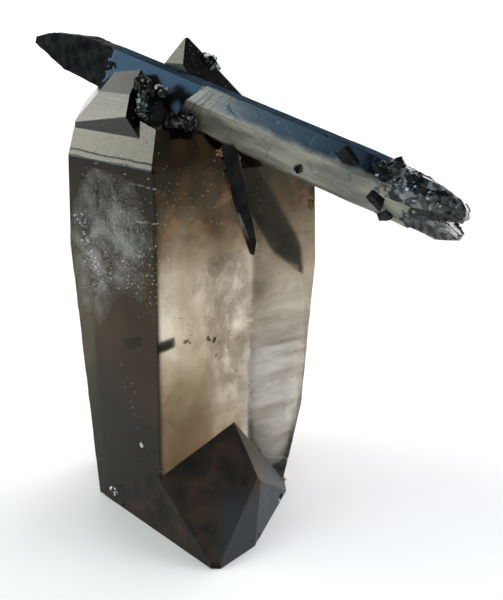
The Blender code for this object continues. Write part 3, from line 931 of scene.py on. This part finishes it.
def barMaterial(look):
    w = newFinish("barFinish", {"IOR": 1.75, "Specular IOR Level": 0.38})
    p = barCoordinates(w)
    t, _, u = w.split(p)
    ribbed = w.fade(w.math("MULTIPLY_ADD", u, -0.55, t), 0.6, 0.9)
    # the lower strip of the ribbed half gets a beige base colour, a painted reflection of the pale floor,
    # with darker patches in it
    lower = w.times(ribbed, w.fade(w.math("MULTIPLY_ADD", w.noise(p, 0.5, 4.0), 0.9, u), 1.75, 1.0))
    glossy = w.ramp(w.noise(w.stretch(p, (0.25, 1.2, 1.2)), 1.0, 4.0), look["glossy"])
    beigeReflection = w.ramp(w.noise(w.stretch(p, (0.2, 1.0, 2.0)), 0.8, 5.0), look["beigeReflection"])
    shade = w.mix(lower, glossy, beigeReflection)
    dimPatches = w.fade(w.noise(w.stretch(p, (0.16, 0.6, 0.7)), 1.0, 4.0), 0.62, 0.40)
    shade = w.mix(w.times(w.times(dimPatches, lower), look["dimPatchShare"]), shade, look["dimPatches"])
    # contour lines of the growth terraces
    contour = w.math("FRACT", w.times(w.noise(w.stretch(p, (0.25, 0.5, 0.6)), 0.55, 0.6), 8.0))
    line = w.times(w.band(contour, 0.5, 0.05), w.math("MULTIPLY_ADD", lower, 0.75, 0.1))
    shade = w.mix(w.times(line, look["contourShare"]), shade, look["contour"])
    # slanting scratches beside the step between the two halves, on a band of beige base colour that is a
    # painted reflection
    fromStep = w.along(p, (1.0, 0.0, -0.55))
    sheared = w.nodes.new("ShaderNodeCombineXYZ")
    w.feed(sheared.inputs["X"], w.times(fromStep, 4.5))
    w.feed(sheared.inputs["Z"], w.times(u, 0.35))
    nearStep = w.times(w.fade(fromStep, 0.4, 0.8), w.fade(fromStep, 6.0, 2.0))
    scratches = w.times(w.fade(w.noise(sheared.outputs[0], 1.0, 3.0, 0.6), 0.50, 0.60), nearStep)
    shade = w.mix(w.times(nearStep, look["nearStepShare"]), shade, look["nearStep"])
    shade = w.mix(w.times(scratches, look["scratchShare"]), shade, look["scratch"])
    w.put("Base Color", shade)
    streaks = w.noise(w.stretch(p, (0.12, 5.0, 5.0)), 1.0, 4.0, 0.6)
    streaky = w.times(lower, streaks)
    w.put("Roughness", w.math("MULTIPLY_ADD", streaky, look["streakRoughness"], look["roughness"]))
    soft = w.noise(w.stretch(p, (0.3, 1.0, 1.0)), 0.9, 4.0, 0.5)
    height = w.math("MULTIPLY_ADD", line, -0.25, w.math("MULTIPLY_ADD", streaks, 0.12, w.times(soft, 0.22)))
    height = w.math("MULTIPLY_ADD", scratches, -1.3, w.times(height, ribbed))
    w.put("Normal", w.bump(height, 0.32, 0.12))
    return w.owner


etchedLook = {
    "shades": [(0.42, (0.001, 0.002, 0.002)), (0.76, (0.014, 0.020, 0.017))],
    "roughness": 0.75, "mottle": -0.3,
}


def etchedMaterial(look):
    w = newFinish("etchedFinish", {"IOR": 1.35, "Specular IOR Level": 0.05})
    p = w.place()
    blotch = w.noise(p, 0.7, 5.0, 0.6)
    w.put("Base Color", w.ramp(blotch, look["shades"]))
    w.put("Roughness", w.math("MULTIPLY_ADD", blotch, look["mottle"], look["roughness"]))
    w.put("Normal", w.bump(w.noise(p, 4.0, 5.0, 0.65), 0.6, 0.12))
    return w.owner


# the light cells are painted shine on the broken end's facets; the dark cells and the dark between them are
# its own black
brokenLook = {
    "blockShine": [(0.25, (0.003, 0.004, 0.004)), (0.90, (0.210, 0.230, 0.225)), (0.60, (0.060, 0.068, 0.064))],
    "between": (0.006, 0.008, 0.007), "roughness": 0.1, "mottle": 0.3,
}


def brokenMaterial(look):
    w = newFinish("brokenEndFinish", {"IOR": 1.7, "Specular IOR Level": 0.2})
    p = barCoordinates(w)
    chips = w.cells(w.stretch(p, (0.8, 1.0, 1.3)), 0.9)
    # cells lighter and darker: painted shine on the broken facets
    blockShine = w.ramp(chips, look["blockShine"])
    w.put("Base Color", w.mix(w.fade(w.noise(p, 1.6, 4.0), 0.35, 0.6), look["between"], blockShine))
    w.put("Roughness", w.math("MULTIPLY_ADD", chips, look["mottle"], look["roughness"]))
    w.put("Normal", w.bump(w.math("ADD", chips, w.noise(p, 2.4, 4.0)), 0.7, 0.2))
    return w.owner


# matte dark blue base colour without reflection, on the bar's upward faces and, left of its middle, on its
# faces that face down or forward and down: the blue is a painted sky reflection
barSkyTintLook = {"shades": [(0.35, (0.016, 0.028, 0.044)), (0.7, (0.032, 0.050, 0.072))], "roughness": 0.55}


def barSkyTintMaterial(look):
    w = newFinish("barPaintedSkyFinish", {"IOR": 1.4, "Specular IOR Level": 0.0, "Roughness": look["roughness"]})
    w.put("Base Color", w.ramp(w.noise(w.place(), 0.8, 3.0), look["shades"]))
    return w.owner


# near-black shades of the dark crystals, and the colour of a painted highlight on one facet
darkLook = {
    "shades": [(0.35, (0.001, 0.002, 0.002)), (0.75, (0.009, 0.012, 0.010))], "paintedHighlight": (0.20, 0.22, 0.21),
}


# the painted highlight: a lighter base colour on the facet that faces this way, given as the way it faces,
# its level and its half height
def darkCrystalMaterial(name, gloss, roughness, paintedHighlight=None, sparkle=0.0, ior=1.7):
    w = newFinish(name, {"IOR": ior, "Specular IOR Level": gloss})
    p = w.place()
    shade = w.ramp(w.noise(p, 0.8, 3.0), darkLook["shades"])
    # painted highlight: lighter base colour where the normal faces this way at this level
    if paintedHighlight:
        facing, level, half = paintedHighlight
        normal = w.nodes.new("ShaderNodeNewGeometry").outputs["Normal"]
        near = w.times(w.fade(w.along(normal, facing), 0.93, 0.98), w.band(w.split(p)[2], level, half))
        shade = w.mix(w.times(near, w.fade(w.noise(p, 2.0, 4.0), 0.3, 0.6)), shade, darkLook["paintedHighlight"])
    w.put("Base Color", shade)
    w.put("Roughness", w.math("MULTIPLY_ADD", w.noise(p, 1.3, 2.0), 0.3, roughness))
    if sparkle:
        w.put("Normal", w.facetted(p, 2.6, sparkle))
    else:
        w.put("Normal", w.bump(w.noise(w.stretch(p, (1, 1, 0.3)), 3.0, 4.0), 0.3, 0.08))
    return w.owner


clusterFinish = darkCrystalMaterial("clusterFinish", 0.16, -0.04, sparkle=0.8)
barFinishes = {
    "smooth": barMaterial(barLook),
    "etched": etchedMaterial(etchedLook),
    "crystals": darkCrystalMaterial("smallCrystalFinish", 0.2, 0.04, ior=1.45),
    "broken": brokenMaterial(brokenLook),
    "top": barSkyTintMaterial(barSkyTintLook),
}
bar = makeBar(barSet, barFinishes)
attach(bar, "root")
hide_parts("aegirine_bar")
print("bar made:", len(bar.data.polygons), "faces")


# pale specks on the bar's front: painted highlights, flakes of pale blue colour where the bar shows bright
# reflections
highlightSpeckSet = {
    # along and up on the bar, spread of both, count
    "groups": [
        (26.2, 1.2, 1.0, 0.25, 26), (20.0, -0.7, 0.9, 0.3, 20), (23.4, -1.5, 1.2, 0.3, 16),
        (29.5, 1.3, 1.2, 0.5, 14),
    ],
    # the bar's two front faces: distance from its axis, change with height, and what both are divided by
    "faces": [(2.0, -0.598, 0.802), (1.824, 0.274, 1.0)],
    "small": 0.04, "large": 0.24, "thin": 0.2, "sunk": 0.04, "seed": 8,
    # the pale blue colour of the painted highlights
    "finish": ("barPaintedHighlightFinish", (0.36, 0.44, 0.54), 0.25),
}


def makeHighlightSpecks(settings):
    draw = random.Random(settings["seed"])
    bm = bmesh.new()
    for along, up, spreadAlong, spreadUp, count in settings["groups"]:
        for _ in range(count):
            t, u = along + draw.gauss(0, spreadAlong), up + draw.gauss(0, spreadUp)
            front = min((distance + change * u) / share for distance, change, share in settings["faces"])
            size = settings["small"] + (settings["large"] - settings["small"]) * draw.random() ** 2
            flake(bm, onBar(t, front - settings["sunk"], u), size, settings["thin"], draw)
    piece = meshPiece("barPaintedHighlights", bm, plainMaterial(*settings["finish"]))
    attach(piece, "root")


makeHighlightSpecks(highlightSpeckSet)
print("glints made")

# finishes of the dark crystals that stay as they are in the frame
# a painted highlight on one facet of the needle
needlePaintedHighlight = ((-0.76, -0.54, -0.37), 43.2, 2.4)
ownFinish = {
    "aegirine_needle": darkCrystalMaterial("needleFinish", 0.12, 0.06, needlePaintedHighlight, ior=1.3),
    "aegirine_blade": darkCrystalMaterial("bladeFinish", 0.03, 0.3, ior=1.3),
}
for name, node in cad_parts.items():
    if name.startswith("aegirine"):
        node.data.materials.clear()
        node.data.materials.append(ownFinish.get(name, clusterFinish))
print("dark crystals finished")

# small crystals between the tips and the bar
grainSet = {
    # centre, spread either way, count, smallest and largest radius
    "tipGrains": ((-6.5, -4.9, 56.6), (0.8, 0.6, 1.6), 40, 0.14, 0.34),
    "notchGrains": ((-3.2, -5.1, 54.0), (1.2, 0.6, 0.8), 50, 0.14, 0.32),
    "barFlecks": (onBar(16.2, 1.4, -1.5), (0.1, 0.05, 0.5), 4, 0.2, 0.36),
    "rearGrains": ((-0.4, 1.9, 59.9), (0.7, 0.5, 0.7), 14, 0.2, 0.42),
}
growthSet = {"sideways": 0.6, "upwards": (-0.2, 1.0), "lengthInRadii": (1.6, 2.8)}


def makeGrains(name, seed, centre, spread, count, small, large):
    draw = random.Random(seed)
    bm = bmesh.new()
    for number in range(count):
        spot = Vector(centre) + Vector([draw.uniform(-s, s) for s in spread])
        sideways = draw.uniform(-growthSet["sideways"], growthSet["sideways"])
        out = Vector((sideways, -1.0, draw.uniform(*growthSet["upwards"])))
        radius = draw.uniform(small, large)
        facets = shard(seed * 100 + number, radius, radius * draw.uniform(*growthSet["lengthInRadii"]))
        growCrystal(bm, facets, spot, axisFrame(out, barFront))
    piece = meshPiece(name, bm, clusterFinish)
    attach(piece, "root")


for seed, (name, values) in enumerate(grainSet.items(), 1):
    makeGrains(name, seed, *values)
print("small crystals made")
